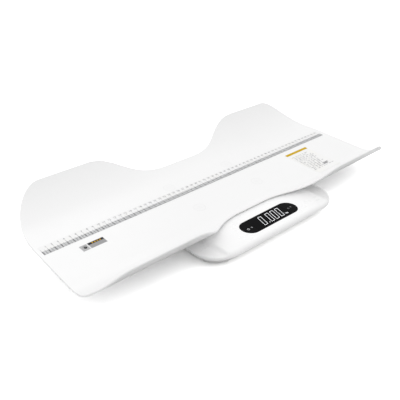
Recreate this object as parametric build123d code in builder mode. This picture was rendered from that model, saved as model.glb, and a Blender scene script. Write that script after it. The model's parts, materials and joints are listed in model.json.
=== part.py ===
"""Digital baby weighing scale: a trough tray on a low base with a display console.

Frame: millimetres, +X towards the tray's right end, -Y towards the console, +Z up.
The origin is on the table, under the middle of the whole scale.
"""

from build123d import *
import os
from math import cos, radians, sin, tan

os.makedirs("parts", exist_ok=True)

# ---------------------------------------------------------------- driving dimensions

# Tray: a sheet bent along X, trimmed to a symmetric plan outline
RULER_Y = 25.0  # the ruler's zero line runs along X here
RULER_Z = 39.0  # height of the tray floor at the ruler
FLOOR_SLOPE = 4.2  # degrees, the floor rises towards the back
SHEET = 3.0
RIM_ROUND = 1.2
LIP_START_Y = -58.0
LIP_RADIUS = 66.0
LIP_ANGLE = 57.5
BACK_START_Y = 71.0
BACK_RADIUS = 93.0
BACK_ANGLE = 57.8
SHEET_REACH = 60.0  # straight sheet past each bend, before trimming

TRAY_BACK_Y = 146.7
TRAY_FRONT_Y = -126.0
NOTCH_Y = 107.5
NOTCH_HALF = 32.0
WING_START_X = 169.0
WING_END_X = 256.0
BACK_CORNER = (330.0, 20.5)
FRONT_CORNER = (333.5, -88.0)
FRONT_RIM_X = 276.0
SCOOP_START_X = 175.0
SCOOP_END_X = 28.0
SCOOP_Y = -74.0
CORNER_PULL = 0.64  # how square the bent corners are
FRONT_CORNER_PULL = 0.45
TRIM_HEIGHT = 200.0  # taller than the scale, for trimming to an outline

# Tray locating pegs and their rubber seats
PEG_X = 68.0
PEG_ROWS_Y = (-22.5, 54.0)
PEG_RADIUS = 5.1
PEG_TIP_Z = 18.5
PEG_CHAMFER = 1.5
BOSS_RADIUS = 12.0
SEAT_TOP_Z = 28.0
SEAT_RADIUS = 13.0
SEAT_BORE = 5.5
SEAT_BOTTOM_Z = 22.0
PAD_RADIUS = 17.0
PAD_Z = 25.5
SOCKET_BOSS_Z = 19.8
SOCKET_BOTTOM_Z = 16.0
SOCKET_RADIUS = 6.2
SOCKET_WALL = 1.8
SOCKET_FLOOR = 1.5
RECESS_WALL = 2.0
RECESS_GAP = 0.1

# Printed strips on the tray floor
RULER_LENGTH = 639.0
RULER_CENTRE_X = -4.0
RULER_WIDTH = 21.0
RULER_BACK_SHIFT = 6.0  # the strip reaches further behind the zero line than in front
PRINT_THICKNESS = 0.25
STICKER_CENTRE = (-256.0, -24.8)
STICKER_SIZE = (41.0, 14.0)
LABEL_CENTRE_X = 211.0
LABEL_WIDTH = 62.0
LABEL_FRONT_Y = -76.0
LABEL_BACK_Y = 9.0

# Base covers
BASE_WIDTH = 299.0
BASE_FRONT_Y = -145.0
BASE_BACK_Y = 97.0
BASE_CORNER = 50.0
OVERHANG_Z = 20.0  # underside of the top cover's overhanging edge
FASCIA_ROUND = 6.5
SLAB_RISE = 0.15  # leaves a faint crease where the console top meets its rounded edge
HULL_WIDTH = 293.0
HULL_FRONT_Y = -140.0
HULL_BACK_Y = 95.0
HULL_CORNER = 40.0
BASE_BOTTOM_Z = 3.0
SEAM_LOW_Z = 16.2
SEAM_HIGH_Z = 16.8
SEAM_INSET = 0.4
DECK_Z = 24.0
DECK_ROUND = 2.0
WALL = 2.2
HULL_ROUND = 8.0
TONGUE = 1.6
TONGUE_TOP_Z = 19.0
TONGUE_BREAK = 124.0  # the tongue is left out in front of the display board
FIT_GAP = 0.2

# Raised console island on the top cover
CONSOLE_Z = 29.0
ISLAND_HALF = 122.0
ISLAND_FRONT_Y = -178.0  # past the base, whose rounded front edge cuts the island
ISLAND_BACK_Y = -65.0  # far enough back for a flat top up to the tray's front rim
ISLAND_CORNER = 30.0
ISLAND_SOFT = 7.0

# Display window: a pill split into a fixed lens and a key at each end
WINDOW_Y = -112.6
WINDOW_LENGTH = 122.8
WINDOW_WIDTH = 35.5
LENS_HALF = 38.3
LENS_THICK = 1.7
GASKET_THICK = 0.3
LEDGE = 2.0
LEDGE_BOTTOM_Z = 25.2
RING_WALL = 1.6
RING_BOTTOM_Z = 24.4
KEY_START_X = 38.6
KEY_GAP = 0.2
KEY_BOTTOM_Z = 22.6
KEY_FLANGE_TOP_Z = 24.1
KEY_FLANGE = 1.3
KEY_SKIN = 1.8
KEY_WALL = 1.8
KEY_POST_X = 50.0
KEY_POST_RADIUS = 3.0
DOME_RADIUS = 5.0
DOME_TIP_RADIUS = 2.6
DOME_FOOT = 0.6

# Boards
BOARD = 1.6
DISPLAY_BOARD_Z = 17.6
DISPLAY_BOARD_SIZE = (116.0, 49.0)
DISPLAY_POST = (32.0, 22.0)
DISPLAY_POST_RADIUS = 2.6
MODULE_SIZE = (68.0, 27.0)
MODULE_TOP_Z = 25.6
MAIN_BOARD_Z = 12.0
MAIN_BOARD_SIZE = (80.0, 50.0)
MAIN_BOARD_Y = -30.0
MAIN_POST = (34.0, 19.0)
MAIN_POST_RADIUS = 3.0
BOARD_SCREW_RADIUS = 1.05
BOARD_SCREW_HEAD = 2.3
BOARD_SCREW_HEAD_HEIGHT = 1.4
BOARD_SCREW_BITE = 5.0
BOARD_CORNER = 2.0
CHIP_SIZE = 12.0
CHIP_HEIGHT = 1.6
CONNECTOR_X = 36.0
CONNECTOR_SHIFT_Y = 11.0
CONNECTOR_SIZE = (6.0, 8.0)
CONNECTOR_HEIGHT = 4.0

# Feet and load cells at the four corners
FOOT_X = 106.5
FOOT_ROWS_Y = (-97.0, 47.0)
FOOT_HOLE = 23.0
FOOT_RADIUS = 21.0
FOOT_TOP_Z = 7.5
FOOT_BOTTOM_Z = 1.2
FOOT_PIVOT_RADIUS = 6.0
RUBBER_RADIUS = 18.5
RUBBER_TOP_Z = 2.4
LOAD_CELL_Z = 10.5
LOAD_CELL_THICK = 2.2
LOAD_CELL_SIZE = (40.0, 34.0)
TONGUE_SIZE = (16.0, 22.0)
TONGUE_SLOT = 2.0
CARRIER_SIZE = (46.0, 42.0)
CARRIER_BOTTOM_Z = 9.5
CARRIER_OPENING = (34.0, 28.0)
CARRIER_BOSSES = ((87.5, -109.0), (87.5, -85.0))
GAUGE_SIZE = (10.0, 6.0)
GAUGE_THICK = 1.0

# Cover screws
COVER_SCREWS = ((70.0, -117.0), (124.0, -41.0), (124.0, 5.0), (44.0, 73.0))
LOWER_BOSS_RADIUS = 4.5
UPPER_BOSS_RADIUS = 4.0
BOSS_SPLIT_Z = 10.5
HEAD_SEAT_Z = 7.5
HEAD_RADIUS = 3.0
HEAD_HEIGHT = 1.8
SHANK_RADIUS = 1.4
SHANK_TOP_Z = 19.5
THREAD_GAP = 0.05
HEAD_GAP = 0.2
SHANK_GAP = 0.3
DRIVE_SLOT = (0.5, 0.6)  # width and depth of each arm of the cross

# Cables inside the base
CABLE_RADIUS = 0.8
CABLE_BEND = 5.0
CABLE_TURN_X = 62.0
CABLE_BOARD_X = 52.0
LEAD_RADIUS = 0.7
LEAD_X = 12.0
LEAD_SLACK = ((12.0, 0.0), (5.5, -3.0), (-1.0, 0.0))  # y, and height beside the board
LEAD_BEND = 3.5
RIBBON_WIDTH = 14.0
RIBBON_THICK = 0.5
RIBBON_RUN_Z = 15.6
RIBBON_BEND = 1.6

# Battery bay, four small cells side by side along X
BATTERY_RADIUS = 5.25
BATTERY_LENGTH = 43.3
NUB_RADIUS = 1.9
NUB_LENGTH = 1.2
NUB_TIP_X = 25.4
BATTERY_PITCH = 11.4
BATTERY_AXIS_Z = 10.8
BAY_HALF_X = 27.0
BAY_HALF_Y = 23.4
BAY_Y = 42.0
BAY_WALL = 2.0
BAY_SIDE_WALL = 3.2
BAY_ROOF_Z = 16.6
CONTACT_THICK = 0.4
CONTACT_SIZE = 9.0
DIMPLE_RADIUS = 2.5
SPRING_TURNS = 8
SPRING_RADIUS = 3.9
SPRING_TIP_RADIUS = 2.7
SPRING_WAVE = 0.45
SPRING_WALL = 0.7

# Battery door, hinged at its rear edge
DOOR_HALF_X = 28.6
DOOR_FRONT_Y = 18.0
DOOR_REAR_Y = 67.0
DOOR_TOP_Z = 5.1
DOOR_GAP = 0.4
DOOR_OPENING_REAR_Y = 69.2
HINGE_Y = 70.0
HINGE_Z = 5.6
PIN_RADIUS = 1.0
PIN_RUNNING_GAP = 0.06
BARREL_RADIUS = 2.2
BARREL_HALF = 12.0
HINGE_SIDE_GAP = 0.4
EAR_WIDTH = 4.0
EAR_RADIUS = 2.5
EAR_REAR_Y = 75.0
NOTCH_REAR_Y = 74.0
LATCH_HALF = 9.0
LATCH_Y = (18.8, 19.6)
LATCH_TOP_Z = 7.2
DOOR_CORNER = 1.5
TAB_REACH = 4.0  # how far the hinge tab runs under the door
TAB_STEP = 0.6
GRIP_GROOVES = 4
GROOVE_PITCH = 2.4
GROOVE_SIZE = (16.0, 1.0)
GROOVE_DEPTH = 0.5
GROOVE_SET_BACK = 6.0

# Unit button in the base's floor
UNIT_X = 18.0
UNIT_Y = -30.0
UNIT_RADIUS = 5.0
UNIT_BOTTOM_Z = 3.4
UNIT_FLANGE = 6.6
UNIT_FLANGE_Z = (5.3, 6.6)
UNIT_TOP_Z = 9.4

# ---------------------------------------------------------------- shared shapes

FLOOR_TOP_Z = BASE_BOTTOM_Z + WALL
SLOPE = radians(FLOOR_SLOPE)
BASE_DEPTH = BASE_BACK_Y - BASE_FRONT_Y
BASE_MID_Y = (BASE_BACK_Y + BASE_FRONT_Y) / 2
HULL_DEPTH = HULL_BACK_Y - HULL_FRONT_Y
HULL_MID_Y = (HULL_BACK_Y + HULL_FRONT_Y) / 2
CEILING_Z = DECK_Z - WALL
DISPLAY_BOARD_TOP_Z = DISPLAY_BOARD_Z + BOARD
MAIN_BOARD_TOP_Z = MAIN_BOARD_Z + BOARD
MAIN_BOARD_MID_Z = MAIN_BOARD_Z + BOARD / 2
GASKET_Z = CONSOLE_Z - LENS_THICK - GASKET_THICK
RIBBON_FRONT_Y = WINDOW_Y + 19.6
RIBBON_REAR_Y = MAIN_BOARD_Y - 21.0
FLOOR_PLANE = Plane(
    origin=(0, RULER_Y, RULER_Z), x_dir=(1, 0, 0), z_dir=(0, -sin(SLOPE), cos(SLOPE))
)


def floor_z(y):
    """Height of the tray's flat floor at a given y."""
    return RULER_Z + (y - RULER_Y) * tan(SLOPE)


def save(builder, name):
    """Label a finished piece and write it to its own file."""
    builder.part.label = name
    export_step(builder.part, "parts/" + name + ".step")


def trough_path(lift):
    """Draw the tray's section at a distance above its inner face, front to back."""

    def lifted(y):
        return (y - lift * sin(SLOPE), floor_z(y) + lift * cos(SLOPE))

    def bend(start_y, radius, degrees_from_down):
        angle = radians(degrees_from_down)
        centre_y = start_y - radius * sin(SLOPE)
        centre_z = floor_z(start_y) + radius * cos(SLOPE)
        reach = radius - lift
        return (centre_y + reach * sin(angle), centre_z - reach * cos(angle))

    lip_end = bend(LIP_START_Y, LIP_RADIUS, -LIP_ANGLE)
    lip_middle = bend(LIP_START_Y, LIP_RADIUS, (FLOOR_SLOPE - LIP_ANGLE) / 2)
    back_end = bend(BACK_START_Y, BACK_RADIUS, BACK_ANGLE)
    back_middle = bend(BACK_START_Y, BACK_RADIUS, (FLOOR_SLOPE + BACK_ANGLE) / 2)
    front_tip = (
        lip_end[0] - SHEET_REACH * cos(radians(LIP_ANGLE)),
        lip_end[1] + SHEET_REACH * sin(radians(LIP_ANGLE)),
    )
    back_tip = (
        back_end[0] + SHEET_REACH * cos(radians(BACK_ANGLE)),
        back_end[1] + SHEET_REACH * sin(radians(BACK_ANGLE)),
    )
    Line(front_tip, lip_end)
    ThreePointArc(lip_end, lip_middle, lifted(LIP_START_Y))
    Line(lifted(LIP_START_Y), lifted(BACK_START_Y))
    ThreePointArc(lifted(BACK_START_Y), back_middle, back_end)
    Line(back_end, back_tip)
    return front_tip, back_tip


def trough_section(low, high):
    """The tray's section between two distances above its inner face."""
    with BuildSketch(Plane.YZ) as section:
        with BuildLine():
            low_tips = trough_path(low)
            high_tips = trough_path(high)
            Line(low_tips[0], high_tips[0])
            Line(low_tips[1], high_tips[1])
        make_face()
    return section.sketch


def corner_curve(start, corner, end, pull=CORNER_PULL):
    """A soft corner between two points, pulled towards the square corner."""
    pull_start = tuple(a + pull * (c - a) for a, c in zip(start, corner))
    pull_end = tuple(b + pull * (c - b) for b, c in zip(end, corner))
    return Bezier(start, pull_start, pull_end, end)


def wave_curve(start, end):
    """A level start that swings over to a level end."""
    middle_x = (start[0] + end[0]) / 2
    return Bezier(start, (middle_x, start[1]), (middle_x, end[1]), end)


def tray_outline():
    """The tray's outline seen from above, both halves."""
    with BuildSketch() as outline:
        with BuildLine():
            Line((0, NOTCH_Y), (NOTCH_HALF, NOTCH_Y))
            wave_curve((NOTCH_HALF, NOTCH_Y), (WING_START_X, TRAY_BACK_Y))
            Line((WING_START_X, TRAY_BACK_Y), (WING_END_X, TRAY_BACK_Y))
            corner_curve(
                (WING_END_X, TRAY_BACK_Y), (BACK_CORNER[0], TRAY_BACK_Y), BACK_CORNER
            )
            Line(BACK_CORNER, FRONT_CORNER)
            corner_curve(
                FRONT_CORNER,
                (FRONT_CORNER[0], TRAY_FRONT_Y),
                (FRONT_RIM_X, TRAY_FRONT_Y),
                FRONT_CORNER_PULL,
            )
            Line((FRONT_RIM_X, TRAY_FRONT_Y), (SCOOP_START_X, TRAY_FRONT_Y))
            wave_curve((SCOOP_START_X, TRAY_FRONT_Y), (SCOOP_END_X, SCOOP_Y))
            Line((SCOOP_END_X, SCOOP_Y), (0, SCOOP_Y))
            mirror(about=Plane.YZ)
        make_face()
    return outline.sketch


def base_outline(z):
    """The top cover's rounded outline at a height."""
    with BuildSketch(Plane.XY.offset(z)) as outline:
        with Locations((0, BASE_MID_Y)):
            RectangleRounded(BASE_WIDTH, BASE_DEPTH, BASE_CORNER)
    return outline.sketch


def hull_outline(z, inset):
    """The outline under the overhang at a height, drawn in by an inset."""
    with BuildSketch(Plane.XY.offset(z)) as outline:
        with Locations((0, HULL_MID_Y)):
            RectangleRounded(
                HULL_WIDTH - 2 * inset, HULL_DEPTH - 2 * inset, HULL_CORNER - inset
            )
    return outline.sketch


def island_outline(z, inset):
    """The console island's outline at its foot, drawn in by an inset."""
    width = 2 * (ISLAND_HALF - inset)
    depth = ISLAND_BACK_Y - ISLAND_FRONT_Y - 2 * inset
    with BuildSketch(Plane.XY.offset(z)) as outline:
        with Locations((0, (ISLAND_FRONT_Y + ISLAND_BACK_Y) / 2)):
            RectangleRounded(width, depth, ISLAND_CORNER - inset)
    return outline.sketch


def window_pill(z, grow):
    """The display window's pill at a height, grown outwards."""
    with BuildSketch(Plane.XY.offset(z)) as pill:
        with Locations((0, WINDOW_Y)):
            SlotOverall(WINDOW_LENGTH + 2 * grow, WINDOW_WIDTH + 2 * grow)
    return pill.sketch


def disc(x, y, z, radius):
    """A flat disc at a place."""
    with BuildSketch(Plane.XY.offset(z)) as round_face:
        with Locations((x, y)):
            Circle(radius)
    return round_face.sketch


def block(x, y, z, width, depth):
    """A flat rectangle at a place."""
    with BuildSketch(Plane.XY.offset(z)) as flat:
        with Locations((x, y)):
            Rectangle(width, depth)
    return flat.sketch


def both_sides(places):
    """Each place and its mirror image across the middle."""
    return [(side * x, y) for x, y in places for side in (-1, 1)]


PEG_PLACES = both_sides((PEG_X, y) for y in PEG_ROWS_Y)
SCREW_PLACES = both_sides(COVER_SCREWS)
FOOT_PLACES = both_sides((FOOT_X, y) for y in FOOT_ROWS_Y)
DISPLAY_POSTS = [
    (x, WINDOW_Y + y)
    for x in (-DISPLAY_POST[0], DISPLAY_POST[0])
    for y in (-DISPLAY_POST[1], DISPLAY_POST[1])
]
MAIN_POSTS = [
    (x, MAIN_BOARD_Y + y)
    for x in (-MAIN_POST[0], MAIN_POST[0])
    for y in (-MAIN_POST[1], MAIN_POST[1])
]

# ---------------------------------------------------------------- tray

with BuildPart() as tray:
    extrude(trough_section(-SHEET, 0), amount=FRONT_CORNER[0] + 10, both=True)
    extrude(tray_outline(), amount=TRIM_HEIGHT, mode=Mode.INTERSECT)
    rim_faces = [f for f in tray.faces() if abs(f.normal_at().Z) < 0.01]
    rim_edges = [
        e for f in rim_faces for e in f.edges() if abs((e % 0.5).Z) < 0.99
    ]
    fillet(rim_edges, RIM_ROUND)
    for x, y in PEG_PLACES:
        extrude(disc(x, y, SEAT_TOP_Z, BOSS_RADIUS), amount=floor_z(y) - SHEET / 2 - SEAT_TOP_Z)
        extrude(disc(x, y, PEG_TIP_Z, PEG_RADIUS), amount=SEAT_TOP_Z - PEG_TIP_Z)
    peg_tips = tray.edges().filter_by(GeomType.CIRCLE).group_by(Axis.Z)[0]
    chamfer(peg_tips, PEG_CHAMFER)
save(tray, "tray")

# ---------------------------------------------------------------- prints on the tray


def floor_print(x, y, width, depth):
    """A thin print on the tray's flat floor; y is measured from the ruler line."""
    with BuildSketch(FLOOR_PLANE) as print_face:
        with Locations((x, y)):
            Rectangle(width, depth)
    return print_face.sketch


with BuildPart() as ruler_strip:
    ruler_face = floor_print(RULER_CENTRE_X, RULER_BACK_SHIFT, RULER_LENGTH, RULER_WIDTH)
    extrude(ruler_face, amount=PRINT_THICKNESS)
save(ruler_strip, "ruler_strip")

with BuildPart() as info_sticker:
    extrude(floor_print(*STICKER_CENTRE, *STICKER_SIZE), amount=PRINT_THICKNESS)
save(info_sticker, "info_sticker")

with BuildPart() as side_label:
    with Locations((LABEL_CENTRE_X, 0, 0)):
        add(extrude(trough_section(0, PRINT_THICKNESS), amount=LABEL_WIDTH / 2, both=True,
                    mode=Mode.PRIVATE))
    label_middle_y = (LABEL_FRONT_Y + LABEL_BACK_Y) / 2
    label_depth = LABEL_BACK_Y - LABEL_FRONT_Y
    extrude(block(LABEL_CENTRE_X, label_middle_y, 0, LABEL_WIDTH, label_depth), amount=TRIM_HEIGHT,
            mode=Mode.INTERSECT)
save(side_label, "side_label")

# ---------------------------------------------------------------- base covers

with BuildPart() as cover_slab:
    # the cover's overhanging rim, round at its top edge, just higher than the console
    extrude(base_outline(OVERHANG_Z), amount=CONSOLE_Z + SLAB_RISE - OVERHANG_Z)
    fillet(cover_slab.edges().group_by(Axis.Z)[-1], FASCIA_ROUND)

with BuildPart() as island_hollow:
    # the hollow under the console's island, rounded at its back corners as the island is
    hollow_y = (HULL_FRONT_Y + WALL + ISLAND_BACK_Y) / 2
    hollow_depth = ISLAND_BACK_Y - HULL_FRONT_Y - WALL
    extrude(block(0, hollow_y, CEILING_Z, 2 * (ISLAND_HALF - 1), hollow_depth),
            amount=CONSOLE_Z - DECK_Z, taper=45)
    extrude(island_outline(CEILING_Z, 1), amount=CONSOLE_Z - DECK_Z, taper=45, mode=Mode.INTERSECT)

with BuildPart() as top_cover:
    # a deck with the console's island on it, both larger than the slab that trims them
    extrude(block(0, BASE_MID_Y, OVERHANG_Z, 2 * BASE_WIDTH, 2 * BASE_DEPTH), amount=DECK_Z - OVERHANG_Z)
    extrude(island_outline(DECK_Z, 0), amount=CONSOLE_Z - DECK_Z, taper=45)
    island_top = top_cover.edges().group_by(Axis.Z)[-1]
    fillet(island_top, ISLAND_SOFT)
    deck_edges = top_cover.faces().filter_by(Axis.Z).group_by(Axis.Z)[-2].edges()
    island_foot = [e for e in deck_edges if abs(e.center().X) < ISLAND_HALF + 1
                   and ISLAND_FRONT_Y - 1 < e.center().Y < ISLAND_BACK_Y + 1]
    fillet(island_foot, ISLAND_SOFT)
    add(cover_slab.part, mode=Mode.INTERSECT)
    deck_edges = top_cover.edges().filter_by_position(Axis.Z, DECK_Z - 0.01, DECK_Z + 0.01)
    deck_rim = [e for e in deck_edges if abs(e.center().X) > ISLAND_HALF + 10 or e.center().Y > 0]
    fillet(deck_rim, DECK_ROUND)
    extrude(hull_outline(SEAM_HIGH_Z, 0), amount=OVERHANG_Z - SEAM_HIGH_Z)
    for x, y in PEG_PLACES:
        extrude(disc(x, y, DECK_Z, PAD_RADIUS), amount=PAD_Z - DECK_Z)
    # the hollow inside
    extrude(hull_outline(SEAM_HIGH_Z, WALL), amount=CEILING_Z - SEAM_HIGH_Z, mode=Mode.SUBTRACT)
    add(island_hollow.part, mode=Mode.SUBTRACT)
    # sockets for the tray's pegs and recesses for their rubber seats
    for x, y in PEG_PLACES:
        extrude(disc(x, y, SOCKET_BOSS_Z, SEAT_RADIUS + RECESS_WALL), amount=DECK_Z - SOCKET_BOSS_Z - 1)
        extrude(disc(x, y, SOCKET_BOTTOM_Z, SOCKET_RADIUS + SOCKET_WALL),
                amount=SEAT_BOTTOM_Z - SOCKET_BOTTOM_Z)
        extrude(disc(x, y, SEAT_BOTTOM_Z, SEAT_RADIUS + RECESS_GAP), amount=PAD_Z, mode=Mode.SUBTRACT)
        extrude(disc(x, y, SOCKET_BOTTOM_Z + SOCKET_FLOOR, SOCKET_RADIUS), amount=PAD_Z,
                mode=Mode.SUBTRACT)
    # window opening, its ring and the lens ledge
    extrude(window_pill(RING_BOTTOM_Z, RING_WALL), amount=CONSOLE_Z - 1 - RING_BOTTOM_Z)
    extrude(window_pill(RING_BOTTOM_Z, 0), amount=CONSOLE_Z, mode=Mode.SUBTRACT)
    with BuildSketch(Plane.XY.offset(LEDGE_BOTTOM_Z)) as ledge:
        add(window_pill(0, 0.5))
        add(window_pill(0, -LEDGE), mode=Mode.SUBTRACT)
        with Locations((0, WINDOW_Y)):
            Rectangle(2 * LENS_HALF, WINDOW_WIDTH + 2, mode=Mode.INTERSECT)
    extrude(amount=GASKET_Z - LEDGE_BOTTOM_Z)
    # bosses for the cover screws and posts for the display board
    for x, y in SCREW_PLACES:
        boss_top = CONSOLE_Z - 1 if y < ISLAND_BACK_Y else DECK_Z - 1
        extrude(disc(x, y, BOSS_SPLIT_Z, UPPER_BOSS_RADIUS), amount=boss_top - BOSS_SPLIT_Z)
        extrude(disc(x, y, BOSS_SPLIT_Z, SHANK_RADIUS + THREAD_GAP),
                amount=SHANK_TOP_Z + 1 - BOSS_SPLIT_Z, mode=Mode.SUBTRACT)
    for x, y in DISPLAY_POSTS:
        extrude(disc(x, y, DISPLAY_BOARD_TOP_Z, DISPLAY_POST_RADIUS),
                amount=CONSOLE_Z - 1 - DISPLAY_BOARD_TOP_Z)
        extrude(disc(x, y, DISPLAY_BOARD_TOP_Z, BOARD_SCREW_RADIUS + THREAD_GAP),
                amount=BOARD_SCREW_BITE + 1, mode=Mode.SUBTRACT)
    # bosses that carry the front load cells under the raised island
    for x, y in both_sides(CARRIER_BOSSES):
        extrude(disc(x, y, CEILING_Z, UPPER_BOSS_RADIUS), amount=CONSOLE_Z - WALL + 0.2 - CEILING_Z)
save(top_cover, "top_cover")

with BuildPart() as bottom_cover:
    extrude(hull_outline(SEAM_LOW_Z, SEAM_INSET), amount=BASE_BOTTOM_Z - SEAM_LOW_Z, taper=45)
    fillet(bottom_cover.edges().group_by(Axis.Z)[0], HULL_ROUND)
    extrude(hull_outline(SEAM_LOW_Z, SEAM_INSET + 1.4 * WALL), amount=FLOOR_TOP_Z - SEAM_LOW_Z,
            taper=45, mode=Mode.SUBTRACT)
    # tongue that locates the top cover
    with BuildSketch(Plane.XY.offset(SEAM_LOW_Z - 1)) as tongue:
        add(hull_outline(0, WALL + FIT_GAP))
        add(hull_outline(0, WALL + FIT_GAP + TONGUE), mode=Mode.SUBTRACT)
        with Locations((0, HULL_FRONT_Y)):
            Rectangle(TONGUE_BREAK, 4 * TONGUE + 4 * WALL, mode=Mode.SUBTRACT)
    extrude(amount=TONGUE_TOP_Z - SEAM_LOW_Z + 1)
    # openings for the feet, each with a collar
    for x, y in FOOT_PLACES:
        extrude(disc(x, y, FLOOR_TOP_Z - 0.5, FOOT_HOLE + 1.6), amount=3)
        extrude(disc(x, y, 0, FOOT_HOLE), amount=SEAM_LOW_Z, mode=Mode.SUBTRACT)
    for x, y in SCREW_PLACES:
        extrude(disc(x, y, BASE_BOTTOM_Z, LOWER_BOSS_RADIUS), amount=BOSS_SPLIT_Z - BASE_BOTTOM_Z)
        extrude(disc(x, y, 0, HEAD_RADIUS + HEAD_GAP), amount=HEAD_SEAT_Z, mode=Mode.SUBTRACT)
        extrude(disc(x, y, HEAD_SEAT_Z, SHANK_RADIUS + SHANK_GAP), amount=BOSS_SPLIT_Z,
                mode=Mode.SUBTRACT)
    for x, y in MAIN_POSTS:
        extrude(disc(x, y, FLOOR_TOP_Z - 0.5, MAIN_POST_RADIUS), amount=MAIN_BOARD_Z - FLOOR_TOP_Z + 0.5)
        extrude(disc(x, y, FLOOR_TOP_Z, BOARD_SCREW_RADIUS + THREAD_GAP), amount=MAIN_BOARD_Z,
                mode=Mode.SUBTRACT)
    # battery bay, open downwards
    bay_outside = (2 * (BAY_HALF_X + BAY_SIDE_WALL), 2 * (BAY_HALF_Y + BAY_WALL))
    extrude(block(0, BAY_Y, FLOOR_TOP_Z - 0.5, *bay_outside),
            amount=BAY_ROOF_Z + BAY_WALL - FLOOR_TOP_Z + 0.5)
    extrude(block(0, BAY_Y, 0, 2 * BAY_HALF_X, 2 * BAY_HALF_Y), amount=BAY_ROOF_Z,
            mode=Mode.SUBTRACT)
    door_opening_y = (DOOR_FRONT_Y - DOOR_GAP + DOOR_OPENING_REAR_Y) / 2
    door_opening_depth = DOOR_OPENING_REAR_Y - DOOR_FRONT_Y + DOOR_GAP
    extrude(block(0, door_opening_y, 0, 2 * (DOOR_HALF_X + DOOR_GAP), door_opening_depth),
            amount=FLOOR_TOP_Z, mode=Mode.SUBTRACT)
    notch_y = (DOOR_REAR_Y + NOTCH_REAR_Y) / 2
    extrude(block(0, notch_y, 0, 2 * (BARREL_HALF + HINGE_SIDE_GAP), NOTCH_REAR_Y - DOOR_REAR_Y),
            amount=FLOOR_TOP_Z, mode=Mode.SUBTRACT)
    for side in (-1, 1):
        ear_start = side * (BARREL_HALF + HINGE_SIDE_GAP)
        with BuildSketch(Plane.YZ.offset(ear_start)):
            with Locations((HINGE_Y, HINGE_Z)):
                Circle(EAR_RADIUS)
            with Locations(((HINGE_Y + EAR_REAR_Y) / 2, HINGE_Z)):
                Rectangle(EAR_REAR_Y - HINGE_Y, 2 * EAR_RADIUS)
        extrude(amount=side * EAR_WIDTH)
    with BuildSketch(Plane.YZ):
        with Locations((HINGE_Y, HINGE_Z)):
            Circle(PIN_RADIUS)
    extrude(amount=BARREL_HALF + HINGE_SIDE_GAP + EAR_WIDTH, both=True, mode=Mode.SUBTRACT)
    extrude(disc(UNIT_X, UNIT_Y, 0, UNIT_RADIUS + FIT_GAP), amount=FLOOR_TOP_Z + 1, mode=Mode.SUBTRACT)
save(bottom_cover, "bottom_cover")

# ---------------------------------------------------------------- display window


def key_region(grow, side):
    """The pill's end taken up by one key, drawn in or out."""
    with BuildSketch() as region:
        add(window_pill(0, grow))
        with Locations((side * (KEY_START_X + WINDOW_LENGTH / 2), WINDOW_Y)):
            Rectangle(WINDOW_LENGTH, WINDOW_WIDTH + 10, mode=Mode.INTERSECT)
    return region.sketch


with BuildPart() as display_lens:
    with BuildSketch(Plane.XY.offset(CONSOLE_Z - LENS_THICK)):
        add(window_pill(0, -0.1))
        with Locations((0, WINDOW_Y)):
            Rectangle(2 * LENS_HALF, WINDOW_WIDTH, mode=Mode.INTERSECT)
    extrude(amount=LENS_THICK)
    chamfer(display_lens.edges().group_by(Axis.Z)[-1], 0.15)
save(display_lens, "display_lens")

with BuildPart() as lens_gasket:
    with BuildSketch(Plane.XY.offset(GASKET_Z)):
        add(window_pill(0, -0.3))
        add(window_pill(0, 0.3 - LEDGE), mode=Mode.SUBTRACT)
        with Locations((0, WINDOW_Y)):
            Rectangle(2 * LENS_HALF - 1, WINDOW_WIDTH, mode=Mode.INTERSECT)
    extrude(amount=GASKET_THICK)
save(lens_gasket, "lens_gasket")

for side, side_name in ((-1, "left"), (1, "right")):
    with BuildPart() as key:
        with BuildSketch(Plane.XY.offset(KEY_BOTTOM_Z)):
            add(key_region(-KEY_GAP, side))
        extrude(amount=CONSOLE_Z - KEY_BOTTOM_Z)
        chamfer(key.edges().group_by(Axis.Z)[-1], 0.15)
        with BuildSketch(Plane.XY.offset(KEY_BOTTOM_Z)):
            add(key_region(KEY_FLANGE, side))
        extrude(amount=KEY_FLANGE_TOP_Z - KEY_BOTTOM_Z)
        with BuildSketch(Plane.XY.offset(KEY_BOTTOM_Z)):
            add(key_region(-KEY_WALL, side))
            with Locations((side * KEY_START_X, WINDOW_Y)):
                Rectangle(2 * KEY_WALL, WINDOW_WIDTH, mode=Mode.SUBTRACT)
        extrude(amount=CONSOLE_Z - KEY_SKIN - KEY_BOTTOM_Z, mode=Mode.SUBTRACT)
        extrude(disc(side * KEY_POST_X, WINDOW_Y, KEY_BOTTOM_Z, KEY_POST_RADIUS),
                amount=CONSOLE_Z - KEY_SKIN - KEY_BOTTOM_Z)
    save(key, side_name + "_key")

    with BuildPart() as dome:
        extrude(disc(side * KEY_POST_X, WINDOW_Y, DISPLAY_BOARD_TOP_Z, DOME_RADIUS), amount=DOME_FOOT)
        with Locations((side * KEY_POST_X, WINDOW_Y, DISPLAY_BOARD_TOP_Z + DOME_FOOT)):
            Cone(DOME_RADIUS, DOME_TIP_RADIUS, KEY_BOTTOM_Z - DISPLAY_BOARD_TOP_Z - DOME_FOOT,
                 align=(Align.CENTER, Align.CENTER, Align.MIN))
    save(dome, side_name + "_key_dome")

# ---------------------------------------------------------------- boards

with BuildPart() as display_board:
    extrude(block(0, WINDOW_Y, DISPLAY_BOARD_Z, *DISPLAY_BOARD_SIZE), amount=BOARD)
    fillet(display_board.edges().filter_by(Axis.Z), BOARD_CORNER)
    for x, y in DISPLAY_POSTS:
        extrude(disc(x, y, 0, BOARD_SCREW_RADIUS + HEAD_GAP), amount=CONSOLE_Z, mode=Mode.SUBTRACT)
save(display_board, "display_board")

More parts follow.
